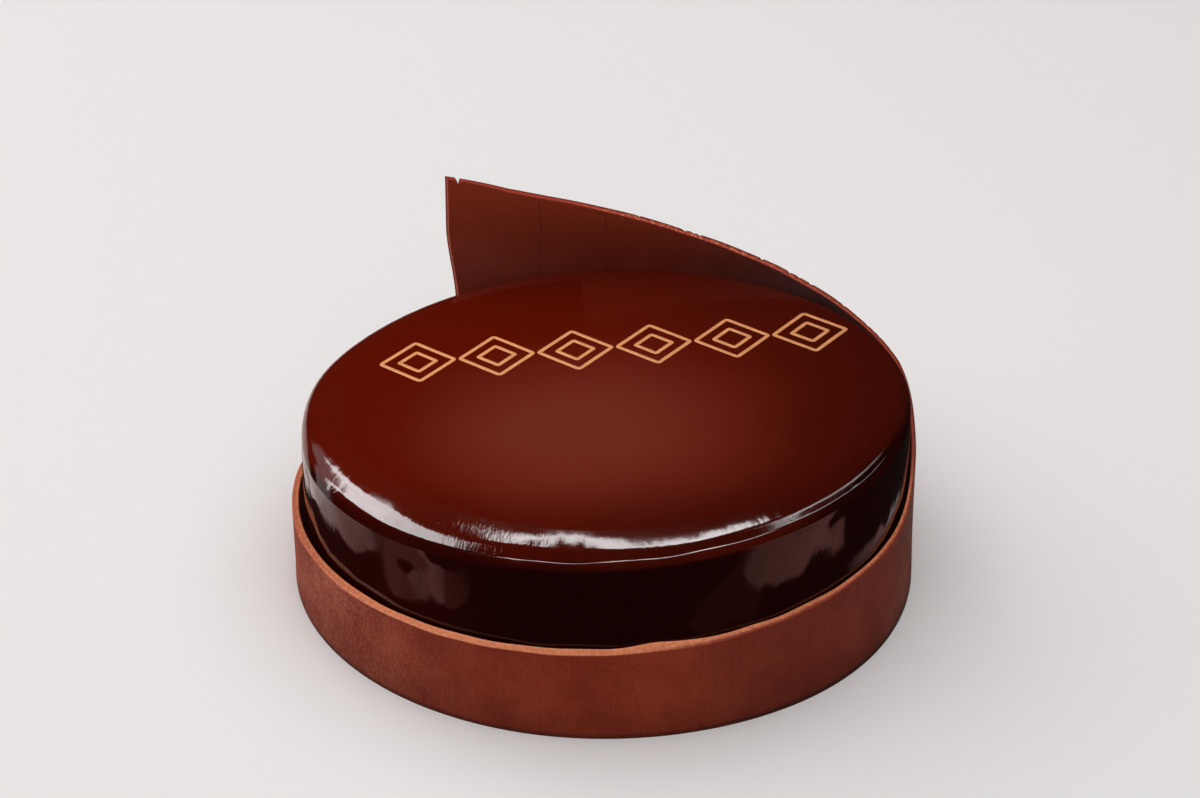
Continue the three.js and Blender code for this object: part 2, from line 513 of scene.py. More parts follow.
def wing_shade_and_cracks(s, x, y, z, clouds):
    """How dark the wing's inner face is: painted shade, darker to the right and low down, with hairline
    cracks.
    """
    dark = s.ramp(x, 5 * MM, 80 * MM, 0.0, 0.6) + s.ramp(z, 52 * MM, 76 * MM, 0.38, 0.0)
    wobble = (clouds - 0.5) * (4 * MM)
    for crack_x, depth in CRACKS:
        away = s.math("ABSOLUTE", x - crack_x + wobble)
        crack = s.ramp(away, 0.1 * MM, 0.35 * MM, depth, 0.0) * s.ramp(y, 0.0, 10 * MM)
        dark = dark + crack * s.ramp(z, 58 * MM, 74 * MM, 0.4, 1.0)
    return dark


def band_material(looks):
    """Moulded chocolate: satin to matt, mottled, with dark pits, faint upright drag marks, a pale bloom on
    the outer face that at the left and the far right is mostly a painted sheen and painted light, painted
    shade to the right, low down, at the foot and on the wing's inner face, which is painted lighter towards
    its top, and a cut rim that is pale where it is low."""
    material, s = new_material("moulded_chocolate")
    whole, x, y, z = s.place()
    radius = (x * x + y * y) ** 0.5
    round_x, round_y = x / radius, y / radius
    rim = s.value("ShaderNodeAttribute", {"attribute_name": "rim"}, output="Fac")
    inward = s.value("ShaderNodeAttribute", {"attribute_name": "inward"}, output="Fac")
    outside = s.ramp(inward, 0.0, 0.1, 1.0, 0.0)
    inside = s.ramp(inward, 0.9, 1.0)
    left = s.ramp(x, -96 * MM, -35 * MM, 1.0, 0.0)

    clouds = s.noise(whole, 60, 5.0, 0.6)
    drags = s.noise(s.vector(round_x * 60, round_y * 60, z * 40), 1.0, 4.0, 0.6)
    grain = s.noise(s.vector(round_x * 120, round_y * 120, z * 800), 1.0, 4.0, 0.65)
    mottle = s.ramp(clouds * 0.7 + drags * 0.3, 0.34, 0.66)
    mottle = 0.5 + (mottle - 0.5) * (0.8 - inside * 0.4)
    body = s.blend(mottle, rgba(looks.band_dark), rgba(looks.band))
    # Painted light: the wing's inner face turns lighter towards its top.
    body = s.blend(inside * s.ramp(z, 58 * MM, 82 * MM, 0.0, 0.65), body, rgba(looks.band_wing_lit))

    # Pale bloom with painted sheen and light: a little all over the outer face, much more towards the left
    # and at the far right limb.
    right_limb_sheen = s.ramp(x, 80 * MM, 94 * MM, 0.0, 0.75)
    bloom_and_sheen = outside * (0.10 + left * 0.62 + right_limb_sheen)
    bloom_and_sheen = bloom_and_sheen * s.ramp(grain * 0.6 + clouds * 0.4, 0.40, 0.66)
    body = s.blend(bloom_and_sheen, body, rgba(looks.band_bloom_and_sheen))

    pits = s.noise(whole, 620, 3.0, 0.6)
    pitted = s.ramp(pits, 0.60, 0.70) * s.ramp(z, 8 * MM, 26 * MM) * (0.15 + left * 0.5)
    # Painted shade: the outer face darkens towards the right and towards the bottom, and a painted contact
    # shadow darkens the foot.
    right = s.ramp(x, 10 * MM, 50 * MM, 0.0, 0.27)
    low_down_shade = s.ramp(z, 0.0, 16 * MM, 0.16, 0.0)
    foot = s.ramp(z, 0.2 * MM, 2.2 * MM, 0.35, 0.0)
    # The dark of the pits and cracks, together with painted shade.
    shade = outside * (pitted + right + low_down_shade) + inside * wing_shade_and_cracks(s, x, y, z, clouds) + foot
    body = s.blend(s.math("MINIMUM", shade, 0.92), body, rgba(looks.band_marks_and_shade))
    body = s.blend(rim, body, cut_rim(s, looks, whole, x, z, inward, left))

    bent = s.bump(drags, 0.05 * MM)
    bent = s.bump(grain, 0.10 * MM, normal=bent)
    roughness = s.ramp(clouds, 0.3, 0.7, 0.5, 0.62) + grain * 0.06
    finish_material(s, {
        "Base Color": body, "Roughness": roughness, "Specular IOR Level": 0.10,
        "Sheen Weight": 0.03, "Sheen Roughness": 0.5, "Normal": bent,
    })
    return material


def gold_material(looks):
    """Gold line work: a warm satin film, a little uneven in colour, and darker towards the right in painted
    shade.
    """
    material, s = new_material("gold_lines")
    whole, x, _, _ = s.place()
    patchy = s.noise(whole, 260, 3.0, 0.6)
    # Painted shade: the gold darkens towards the right.
    shade = s.ramp(x, -50 * MM, 80 * MM, 0.0, 0.42)
    patchy_and_shaded_gold = [c * 0.55 for c in looks.gold]
    body = s.blend(s.ramp(patchy, 0.3, 0.75, 0.0, 0.3) + shade, rgba(looks.gold), rgba(patchy_and_shaded_gold))
    bent = s.bump(patchy, 0.03 * MM)
    finish_material(s, {"Base Color": body, "Roughness": 0.45, "Normal": bent})
    return material


# ---- The glazed torte ----

RING_COLUMNS = 576

# Dents and bumps in the wall: bearing in degrees, height in millimetres, depth in wall waves, and
# half widths in degrees and in millimetres.
DENTS = (
    (-38, 45, 2.2, 3.0, 3.0),
    (-31, 48, -1.8, 2.2, 1.6),
    (17, 50, 1.6, 2.0, 1.5),
    (36, 52, -1.4, 3.0, 2.0),
    (46, 51, 2.4, 1.4, 3.0),
    (130, 40, 2.0, 3.0, 3.0),
    (235, 42, 2.0, 3.0, 2.5),
)


def top_height(x, y, sizes):
    """Height of the flat of the top: a leaning plane with broad, very shallow waves."""
    lean = sizes.lean_right * x + sizes.lean_back * y
    return sizes.height + lean + 0.03 * MM * waves(x, y, 55 * MM, 55 * MM, 9, seed=4)


# The broad front shoulder, in degrees of bearing: where it fades in at the left and out at the right,
# where the lip flattens, and the middle and width of a weak stretch of the roll.
FRONT_IN, FRONT_OUT = (-82, -56), (60, 95)
LIP_FLATTENS = (-60, -46)
WEAK_ROLL = (10, 3)

# Shares of the way down the front shoulder over which the steepness of each part comes in.
ROLL_IN, ROLL_ON, FALL_IN, LIP_IN = (0, 0.12), (0.12, 0.5), (0.48, 0.62), (0.72, 0.80)
ROLL_GAIN = 0.25

# How much wider and deeper the front shoulder is at the front and at the left, as shares.
WIDER_FRONT, WIDER_LEFT = 0.11, 0.28


def shoulder_profile(bearing, sizes, steps=72):
    """The rounded top edge for each bearing, from the flat of the top down to the wall.

    At the sides and the back it is a quarter circle. At the front its steepness is nearly even over
    a broad roll, larger over a short fall, and smaller again at the lip, which is flattest at the
    front and meets the wall in a crease. Reach and drop are the running sums of the steepness's
    cosine and sine, scaled to the shoulder's own reach and drop."""
    along = np.linspace(0, 1, steps)[:, None]
    deg = (np.degrees(bearing) + 180) % 360 - 180
    front = smooth(deg, *FRONT_IN) * (1 - smooth(deg, *FRONT_OUT))
    roll = sizes.roll_slope * (1 + 0.05 * ring_waves(bearing, 0, 12, 1.0, 7, seed=3))
    roll = roll * (1 - 0.12 * bell(deg, *WEAK_ROLL))
    lip = sizes.lip_slope * (1 + 0.25 * ring_waves(bearing, 0, 17, 1.0, 7, seed=12))
    fall = sizes.fall_slope
    lip = lip + 0.35 * (fall - lip) * (1 - smooth(deg, *LIP_FLATTENS))
    steepness = (
        roll * (smooth(along, *ROLL_IN) + ROLL_GAIN * smooth(along, *ROLL_ON))
        + (fall - (1 + ROLL_GAIN) * roll) * smooth(along, *FALL_IN)
        + (lip - fall) * smooth(along, *LIP_IN)
    )
    steepness = steepness * front + np.pi / 2 * along * (1 - front)
    reach = np.cumsum(np.cos(steepness), axis=0)
    drop = np.cumsum(np.sin(steepness), axis=0)
    reach = (reach - reach[0]) / (reach[-1] - reach[0])
    drop = (drop - drop[0]) / (drop[-1] - drop[0])
    size = 1 + WIDER_FRONT * np.cos(bearing) - WIDER_LEFT * np.sin(bearing)
    edge = sizes.edge_round + sizes.edge_front * np.cos(bearing) - sizes.edge_left * np.sin(bearing)
    edge = edge - sizes.edge_crisp * bell(np.radians(deg), sizes.crisp_bearing, sizes.crisp_width)
    whole_reach = sizes.shoulder_reach * size * front + edge * (1 - front)
    whole_drop = sizes.shoulder_drop * size * front + edge * (1 - front)
    return reach * whole_reach, drop * whole_drop


def torte_points(sizes):
    """Rows of points from the underside's middle out, up the wall, over the shoulder and in to the
    middle of the top, and the row where the wall ends. Heights are then leaned, and waves are added
    to wall and shoulder."""
    bearing = np.linspace(0, TURN, RING_COLUMNS, endpoint=False)[None, :]
    reach, drop = shoulder_profile(bearing, sizes)
    wall_top = sizes.height - drop[-1]
    top_radius = sizes.radius - sizes.taper * wall_top

    under = np.linspace(0.15, 1, 6)[:, None] * (sizes.radius - sizes.foot)
    under_radius, under_height = np.broadcast_arrays(under, 0 * bearing)
    turn = np.linspace(0, np.pi / 2, 6)[1:, None]
    foot_radius = sizes.radius - sizes.foot + sizes.foot * np.sin(turn) + 0 * bearing
    foot_height = sizes.foot * (1 - np.cos(turn)) + 0 * bearing
    up = np.linspace(0, 1, 46)[1:-1, None]
    wall_height = sizes.foot + (wall_top - sizes.foot) * up
    wall_radius = sizes.radius - sizes.taper * wall_height
    wall_wave = ring_waves(bearing, wall_height, 18, 45 * MM, 7, seed=21)
    wall_wave = wall_wave + 0.15 * ring_waves(bearing, wall_height, 50, 20 * MM, 7, seed=22)
    for at_deg, at_height, depth, width_deg, width in DENTS:
        turned = (np.degrees(bearing) - at_deg + 180) % 360 - 180
        round_it = bell(turned, 0, width_deg)
        wall_wave = wall_wave - depth * round_it * bell(wall_height, at_height * MM, width * MM)
    wavy = sizes.wall_wave * smooth(up, 0.3, 0.6) * (1 - smooth(up, 0.9, 1))
    wall_radius = wall_radius + wavy * wall_wave

    shoulder_radius = top_radius - reach[-1] + reach[::-1]
    shoulder_height = sizes.height - drop[::-1]
    inward = np.linspace(1, 0, 38)[1:-1, None]
    flat_radius = inward * shoulder_radius[-1]
    flat_height = sizes.height + 0 * flat_radius

    radius = np.concatenate([under_radius, foot_radius, wall_radius, shoulder_radius, flat_radius])
    height = np.concatenate([under_height, foot_height, wall_height, shoulder_height, flat_height])
    points = on_ring(bearing, radius, height)
    x, y = points[..., 0], points[..., 1]
    ripple = 0.6 * ring_waves(bearing, radius, 70, 9 * MM, 9, seed=5)
    ripple = ripple + 0.4 * ring_waves(bearing, radius, 130, 16 * MM, 9, seed=6)
    on_shoulder = bell(radius, sizes.radius - 7 * MM, 4.5 * MM) * (height > wall_top + 1 * MM)
    rise = top_height(x, y, sizes) - sizes.height
    points[..., 2] += rise * np.minimum(1, height / wall_top) + sizes.ripple * ripple * on_shoulder
    points[..., 0] += sizes.shift
    return points, len(under) + len(turn) + len(up)


def crease_row(mesh, columns, row):
    """Marks the edges along one row of a grid as a crease, over which shading isn't smoothed."""
    ends = np.empty(2 * len(mesh.edges), np.int32)
    mesh.edges.foreach_get("vertices", ends)
    on_row = (ends.reshape(-1, 2) // columns == row).all(axis=1)
    mesh.attributes.new("sharp_edge", "BOOLEAN", "EDGE").data.foreach_set("value", on_row)


class TORTE_OT_add_torte(Operator):
    """Adds the glazed torte over its solid"""

    bl_idname = "torte.add_torte"
    bl_label = "Glazed torte"

    def execute(self, context):
        sizes, looks = context.scene.torte_sizes, context.scene.torte_looks
        grid, wall_end = torte_points(sizes)
        rows, columns = grid.shape[:2]
        under_middle = Vector((sizes.shift, 0, 0))
        top_middle = Vector((sizes.shift, 0, top_height(0.0, 0.0, sizes)))
        points = np.concatenate([grid.reshape(-1, 3), [under_middle, top_middle]])
        first, last = np.arange(columns), np.arange(columns) + (rows - 1) * columns
        faces = [
            grid_quads(rows, columns, columns_close=True),
            fan(rows * columns, first[::-1]),
            fan(rows * columns + 1, last),
        ]
        piece = add_piece("torte_in_glaze", points, faces, glaze_material(looks, sizes))
        crease_row(piece.data, columns, wall_end)
        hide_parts("glazed_torte")
        return {"FINISHED"}


# ---- The chocolate band ----

BAND_COLUMNS = 1040
FACE_ROWS = 26
RIM_ROWS = 9
COLUMN_CROWDING = 1.5

# Stretches of the band, in degrees of bearing. Of the wing: where its lift, its chips and its rim's
# own slope come in and go out.
LIFT_IN, LIFT_LESS, LIFT_OUT = (86, 98), (140, 158), (176, 194)
CHIPS_IN, CHIPS_OUT = (84, 120), (170, 184)
WING_SLOPE_IN = (95, 150)

# Middles and widths of bells: the foot's swell, the left's lean, and two drops of chocolate that
# swell the rim at the front.
FOOT_SWELL, LEFT_SWING = (48, 18), (-88, 28)
DROP, SMALL_DROP = (8.5, 3.0), (13, 4)
CUT_END = 0.45  # how pale the tall end's cut edge is, as a share of the rim's look


def rim_height(bearing, sizes):
    """Height of the outer rim: a nearly level stretch, a quick climb, a wing that rises by a square
    law, a last lift at the tall end, and a small notch cut out of it."""
    deg = np.degrees(bearing)
    climb_end = np.degrees(sizes.climb_end)
    level = sizes.front_height + sizes.level_climb_deg * np.minimum(deg, climb_end)
    along = np.maximum(0, deg - climb_end)
    wing = sizes.wing_foot + sizes.wing_climb_deg * along + sizes.wing_curve_deg * along**2
    share_of_wing = smooth(bearing, sizes.climb_start, sizes.climb_end)
    peak = np.maximum(0, (bearing - sizes.peak_start) / (sizes.tall_end - sizes.peak_start))
    notch = np.maximum(0, 1 - np.abs(bearing - sizes.notch_bearing) / sizes.notch_half_width)
    height = level * (1 - share_of_wing) + wing * share_of_wing
    return height + sizes.peak_rise * peak - sizes.notch_depth * notch


def band_radius(bearing, height, sizes, taper):
    """Outer radius: the wall leans in a little, but outwards at the left, and the wing's end swings
    outwards above the torte."""
    swing = smooth(bearing, sizes.flare_start, sizes.tall_end) ** 2
    flare = sizes.flare * swing * smooth(height, sizes.flare_foot, sizes.flare_top)
    lean = sizes.left_swing * bell(np.degrees(bearing), *LEFT_SWING) * height / sizes.front_height
    return sizes.radius - taper * height + flare + lean


def band_thickness(bearing, sizes):
    """Thickness of the wall: full, less a smooth loss round the thin side."""
    thin = np.maximum(0, np.cos(bearing - sizes.thin_bearing)) ** 4
    return sizes.thickness - sizes.thin_loss * thin


def band_points(sizes, taper):
    """The band as a closed section carried round the torte. Each section runs up the outer face,
    over the rim and down the inner face. Returns the points, which of them belong to the rim, and
    how far inward each lies: 0 on the outer face, 1 on the inner face, and between them on the rim."""
    low_end = sizes.tall_end + sizes.seam - TURN
    along = np.linspace(0, 1, BAND_COLUMNS)[:, None]
    bearing = low_end + (sizes.tall_end - low_end) * (1 - (1 - along) ** COLUMN_CROWDING)
    thickness = band_thickness(bearing, sizes)
    deg = np.degrees(bearing)
    lift = smooth(deg, *LIFT_IN) * (1 - 0.35 * smooth(deg, *LIFT_LESS)) * (1 - smooth(deg, *LIFT_OUT))
    edge = rim_height(bearing, sizes) + sizes.wing_lift * lift

    swell = bell(deg, *DROP) + 0.35 * bell(deg, *SMALL_DROP)
    rng = np.random.default_rng(8)
    raw = np.convolve(rng.normal(size=BAND_COLUMNS), np.ones(3) / 3, "same")[:, None]
    chips = np.clip(raw - 0.55, 0, 1) * smooth(deg, *CHIPS_IN) * (1 - smooth(deg, *CHIPS_OUT))
    sway = 0.06 * MM * ring_waves(bearing, 0, 22, 1.0, 9, seed=31)

    up = np.sin(np.linspace(0, np.pi / 2, FACE_ROWS))[None, :]
    across = np.linspace(0, 1, RIM_ROWS + 2)[None, 1:-1]
    slope = sizes.rim_slope + (sizes.wing_rim_slope - sizes.rim_slope) * smooth(deg, *WING_SLOPE_IN)
    corner = 0.2 * MM * (bell(across, 0, 0.10) + bell(across, 1, 0.10))
    rim_level = edge + sway + slope * thickness * across - corner
    rim_level = rim_level + 0.75 * MM * swell * smooth(across, 0.3, 0.9)
    rim_level = rim_level - sizes.chip_depth * chips * (1 - smooth(across, 0.35, 0.85))
    outer_top = edge + sway - 0.25 * MM - sizes.chip_depth * chips
    inner_top = edge + sway + slope * thickness - 0.3 * MM + 0.6 * MM * swell

    outer_height, inner_height = outer_top * up, inner_top * up[:, ::-1]
    outer_wave = 0.10 * MM * ring_waves(bearing, outer_height, 12, 60 * MM, 7, seed=41)
    inner_wave = 0.06 * MM * ring_waves(bearing, inner_height, 14, 70 * MM, 7, seed=42)
    outer = band_radius(bearing, outer_height, sizes, taper) + outer_wave * smooth(up, 0, 0.2) - 0.1 * MM
    outer = outer + sizes.foot_swell * bell(deg, *FOOT_SWELL) * (1 - smooth(outer_height, 2 * MM, 20 * MM))
    rim = band_radius(bearing, rim_level, sizes, taper) - thickness * across - 0.3 * MM * swell * across
    inner = band_radius(bearing, inner_height, sizes, taper) - thickness + inner_wave
    inner = inner - 0.25 * MM * swell * up[:, ::-1]
    radius = np.concatenate([outer, rim, inner], axis=1)
    height = np.concatenate([outer_height, rim_level, inner_height], axis=1)
    is_rim = np.zeros_like(height)
    is_rim[:, FACE_ROWS:-FACE_ROWS] = 1
    is_rim[-1] = CUT_END
    inward = np.zeros_like(height)
    inward[:, FACE_ROWS:-FACE_ROWS] = across
    inward[:, -FACE_ROWS:] = 1
    return on_ring(bearing, radius, height), is_rim, inward


class TORTE_OT_add_band(Operator):
    """Adds the moulded chocolate band over its solid"""

    bl_idname = "torte.add_band"
    bl_label = "Chocolate band"

    def execute(self, context):
        sizes, looks = context.scene.band_sizes, context.scene.torte_looks
        grid, is_rim, inward = band_points(sizes, context.scene.torte_sizes.taper)
        columns, section = grid.shape[:2]
        body = grid_quads(columns, section, columns_close=True)
        rung = np.arange(section // 2)
        ladder = np.stack([rung[:-1], rung[1:], section - 2 - rung[:-1], section - 1 - rung[:-1]], axis=-1)
        last = (columns - 1) * section + ladder[:, ::-1]
        piece = add_piece("moulded_band", grid.reshape(-1, 3), [body, ladder, last], band_material(looks))
        for name, values in (("rim", is_rim), ("inward", inward)):
            mark = piece.data.attributes.new(name, "FLOAT", "POINT")
            mark.data.foreach_set("value", values.astype(np.float32).ravel())
        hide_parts("chocolate_band")
        return {"FINISHED"}


# ---- The gold line work ----

MOTIFS = 6


def lozenge(half_width, half_height, steps=24):
    """A closed lozenge with its corners a little rounded: four straight sides, each split evenly,
    whose points are then averaged with their neighbours."""
    corners = np.array([(half_width, 0), (0, half_height), (-half_width, 0), (0, -half_height)])
    t = np.linspace(0, 1, steps, endpoint=False)[None, :, None]
    line = corners[:, None] * (1 - t) + np.roll(corners, -1, axis=0)[:, None] * t
    line = line.reshape(-1, 2)
    return (np.roll(line, 1, axis=0) + 2 * line + np.roll(line, -1, axis=0)) / 4


def stroke_points(line, sizes, torte):
    """A flat strip of film along a closed line: each of its points is moved square to the line by a
    share of the stroke's width, turned and moved to its place, and laid on the top of the torte."""
    ahead = np.roll(line, -1, axis=0) - np.roll(line, 1, axis=0)
    square = np.stack([ahead[:, 1], -ahead[:, 0]], axis=-1) / np.linalg.norm(ahead, axis=1)[:, None]
    across = np.array([0.5, 0.44, 0.15, -0.15, -0.44, -0.5])
    proud = np.array([-0.5, 0.8, 1.0, 1.0, 0.8, -0.5]) * sizes.film
    flat = line[:, None] + square[:, None] * across[None, :, None] * sizes.stroke
    c, s = np.cos(sizes.turn), np.sin(sizes.turn)
    x = sizes.middle_x + flat[..., 0] * c - flat[..., 1] * s
    y = sizes.middle_y + flat[..., 0] * s + flat[..., 1] * c
    z = top_height(x - torte.shift, y, torte) + proud[None, :]
    return np.stack([x, y, z], axis=-1)


class TORTE_OT_add_pattern(Operator):
    """Adds the row of gold outlined lozenges on the top"""

    bl_idname = "torte.add_pattern"
    bl_label = "Gold line work"

    def execute(self, context):
        sizes, torte = context.scene.pattern_sizes, context.scene.torte_sizes
        blocks, faces, used = [], [], 0
        slimmer = sizes.inset * np.hypot(sizes.half_width, sizes.half_height)
        inner_width = sizes.half_width - slimmer / sizes.half_height
        inner_height = sizes.half_height - slimmer / sizes.half_width
        outlines = ((sizes.half_width, sizes.half_height), (inner_width, inner_height))
        for place in np.arange(MOTIFS) - (MOTIFS - 1) / 2:
            for half_width, half_height in outlines:
                line = lozenge(half_width, half_height) + (place * sizes.pitch, 0)
                block = stroke_points(line, sizes, torte)
                rows, columns = block.shape[:2]
                faces.append(used + grid_quads(rows, columns, rows_close=True, columns_close=True))
                blocks.append(block.reshape(-1, 3))
                used += rows * columns
        piece = add_piece(
            "gold_line_work", np.concatenate(blocks), faces, gold_material(context.scene.torte_looks)
        )
        return {"FINISHED"}


# ---- The stage ----


def facing_axes(place, along):
    """Directions of a panel that faces the middle of the torte from a place: its width, which runs
    as nearly along the given direction as it can, its depth, and straight away from the torte."""
    away = (Vector(place) - Vector(LIT_POINT)).normalized()
    width = Vector(along) - Vector(along).dot(away) * away
    width.normalize()
    return width, away.cross(width), away


# Soft lights: place, width and depth in metres, and whether they cast shadows.
SOFT_LIGHTS = {
    "left": ((-1.4, 0.0, 0.7), 1.2, 1.0, True),
    "back_left": ((-1.0, 1.0, 0.9), 1.3, 1.0, True),
    "top": ((0.0, 0.0, 1.6), 2.0, 2.0, True),
    "front": ((0.25, -1.3, 0.9), 1.2, 0.8, True),
    "even": ((0.0, 0.0, 1.5), 3.0, 3.0, False),
}


def soft_light(name, place, width, depth, shadow, power):
    """A rectangular panel of light that faces the middle of the torte. Gloss doesn't see it."""
    lamp = bpy.data.lights.new(name, "AREA")
    lamp.shape = "RECTANGLE"
    lamp.size, lamp.size_y, lamp.energy, lamp.use_shadow = width, depth, power, shadow
    panel = bpy.data.objects.new(name, lamp)
    panel.location = place
    panel.rotation_euler = Matrix(facing_axes(place, (1, 0, 0))).transposed().to_euler()
    panel.visible_glossy = False
    bpy.context.scene.collection.objects.link(panel)


def glow_material(name, tint, strength=1.0):
    """A surface that glows in a tint, as brightly as its mesh's own attribute says."""
    material, s = new_material(name)
    glow = s.value("ShaderNodeAttribute", {"attribute_name": "glow"}, output="Fac")
    finish_material(s, {
        "Base Color": rgba((0, 0, 0)), "Specular IOR Level": 0.0,
        "Emission Color": s.blend(glow, rgba((0, 0, 0)), rgba(tint)), "Emission Strength": strength,
    })
    return material


def glow_card(name, points, faces, glow, material):
    """A card that only mirror-like surfaces see, with its brightness stored at its points."""
    card = add_piece(name, points, faces, material, body=None)
    mark = card.data.attributes.new("glow", "FLOAT", "POINT")
    mark.data.foreach_set("value", np.asarray(glow, np.float32).ravel())
    card.visible_camera = card.visible_diffuse = card.visible_shadow = False
    card.visible_transmission = card.visible_volume_scatter = False


# The overhead card's bright strip: how far back and how far forward it reaches along its width.
STRIP_BACK = (
    (-1.3, -1.11, -0.91, -0.77, -0.56, -0.45, -0.36, -0.26, -0.11, 0.10, 0.22, 0.32, 0.42, 0.51, 0.72, 1.4),
    (0.05, 0.12, 0.29, 0.33, 0.17, 0.02, 0.00, 0.08, 0.07, -0.12, -0.19, -0.25, -0.22, 0.03, 0.16, 0.19),
)
STRIP_FRONT = (
    (-1.3, -0.99, -0.76, -0.53, -0.43, -0.33, 0.19, 0.28, 0.51, 0.77, 1.1, 1.2, 1.4),
    (-0.07, -0.14, 0.00, -0.05, -0.35, -0.33, -0.55, -0.46, -0.80, -0.88, -0.49, -0.23, 0.1),
)


def overhead_glow(a, b):
    """Brightness of the overhead card, a metres to the right of its middle and b metres back: a
    strip between two bent lines, with soft edges and a brighter right half."""
    strip = 1 - smooth(b - np.interp(a, *STRIP_BACK), -0.06, 0.06)
    strip = strip * smooth(b - np.interp(a, *STRIP_FRONT), -0.05, 0.05)
    strip = strip * smooth(a, -1.35, -1.05) * (1 - smooth(a, 1.02, 1.2))
    strip = strip * (1 + 0.35 * smooth(a, 0.3, 0.5))
    return strip * (0.9 + 0.1 * waves(a, b, 0.12, 0.3, 9, seed=51))


# The left card: how far right it is bright at each b, and between which b it is bright at each a.
LEFT_END = ((-0.6, -0.38, -0.25, -0.1, 0.0, 0.12), (0.0, 0.42, 0.42, 0.46, 0.36, 0.40))
LEFT_START = ((-1.4, -1.1, -0.75, -0.6, 0.0, 0.43), (-0.95, -0.8, -0.7, -0.6, -0.6, -0.4))
LEFT_LOW = ((-1.2, -0.15, 0.2, 0.62), (0.85, 0.38, 0.17, 0.08))


def left_glow(a, b):
    """Brightness of the left card, a metres to the right of its middle as the torte sees it and b
    metres down: bright between bent edges, with a dusky level below."""
    under = b - np.interp(a, *LEFT_LOW)
    bright = (1 - smooth(a - np.interp(b, *LEFT_END), -0.04, 0.05)) * (1 - smooth(under, -0.04, 0.08))
    bright = bright * smooth(b - np.interp(a, *LEFT_START), -0.06, 0.06)
    bright = 0.70 * bright * (0.92 + 0.08 * waves(a, b, 0.2, 0.2, 9, seed=52))
    dusk = 0.04 * smooth(under, -0.04, 0.08) * (1 - smooth(a, 0.5, 0.75))
    return (bright + dusk) * smooth(a, -1.45, -1.2) * (1 - smooth(b, 0.85, 1.0))


def right_glow(a, b):
    """Brightness of the right card, in the same measures: a thin strip that is brightest to the
    right of its middle."""
    strip = smooth(b, -0.40, -0.10) * (1 - smooth(b, 0.05, 0.12))
    return strip * smooth(a, -0.9, -0.3) * (1 - smooth(a, 0.9, 1.4)) * (0.22 + 0.25 * bell(a, 0.7, 0.35))


# Cards that make the highlights on the shoulder: place, direction of the width, half width, half
# depth, and the rule for the brightness.
SHOULDER_CARDS = {
    "card_overhead": ((0.0, -0.04, 2.05), (1, -0.11, 0), 1.4, 0.9, overhead_glow),
    "card_left": ((-1.73, 0.56, 0.93), (0.29, 0.90, 0.31), 1.5, 1.0, left_glow),
    "card_right": ((1.83, 0.17, 0.96), (0.08, -0.85, 0.53), 1.4, 0.45, right_glow),
}


def add_shoulder_cards(shine):
    """The cards whose mirror images are the highlights on the torte's shoulder."""
    for name, (place, along, half_width, half_depth, rule) in SHOULDER_CARDS.items():
        a = np.linspace(-half_width, half_width, 121)[None, :]
        b = np.linspace(-half_depth, half_depth, 81)[:, None]
        width, depth, _ = (np.array(axis) for axis in facing_axes(place, along))
        points = np.array(place) + a[..., None] * width + b[..., None] * depth
        material = glow_material(name, (1, 1, 1), shine)
        glow = rule(a, b)
        glow_card(name, points.reshape(-1, 3), [grid_quads(*glow.shape)], glow, material)


# The dark screen: its two ends and where it widens, in degrees of bearing, its radius where it is
# narrow and where it is wide, and the heights of its two edges.
SCREEN_ENDS, SCREEN_WIDENS = (-175, -20), (-110, -85)
SCREEN_RADIUS, SCREEN_WIDE = 77 * MM, 82 * MM
SCREEN_HEIGHTS = (50 * MM, 200 * MM)


def add_screen():
    """A dark curved screen that only gloss sees. It stands between the flat of the top and the left
    card, so that the flat doesn't mirror the card when it is seen from the right."""
    deg = np.linspace(*SCREEN_ENDS, 78)[:, None]
    radius = SCREEN_WIDE - (SCREEN_WIDE - SCREEN_RADIUS) * smooth(deg, *SCREEN_WIDENS)
    points = on_ring(np.radians(deg), radius, np.array([SCREEN_HEIGHTS])).reshape(-1, 3)
    dark = glow_material("card_screen", (0, 0, 0))
    glow_card("card_screen", points, [grid_quads(len(deg), 2)], np.zeros(len(points)), dark)


def room_light(settings):
    """The room: an even, low light all round."""
    world = bpy.data.worlds.new("studio")
    world.use_nodes = True
    s = Shader(world.node_tree)
    light = s.value("ShaderNodeBackground", inputs={"Strength": settings.world_level})
    s.node("ShaderNodeOutputWorld", inputs={"Surface": light})
    bpy.context.scene.world = world


LIT_POINT = (0, 0, 40 * MM)
CAMERA_PLACE = (-1.05 * MM, -878.8 * MM, 575.4 * MM)
FAR = 6000 * MM

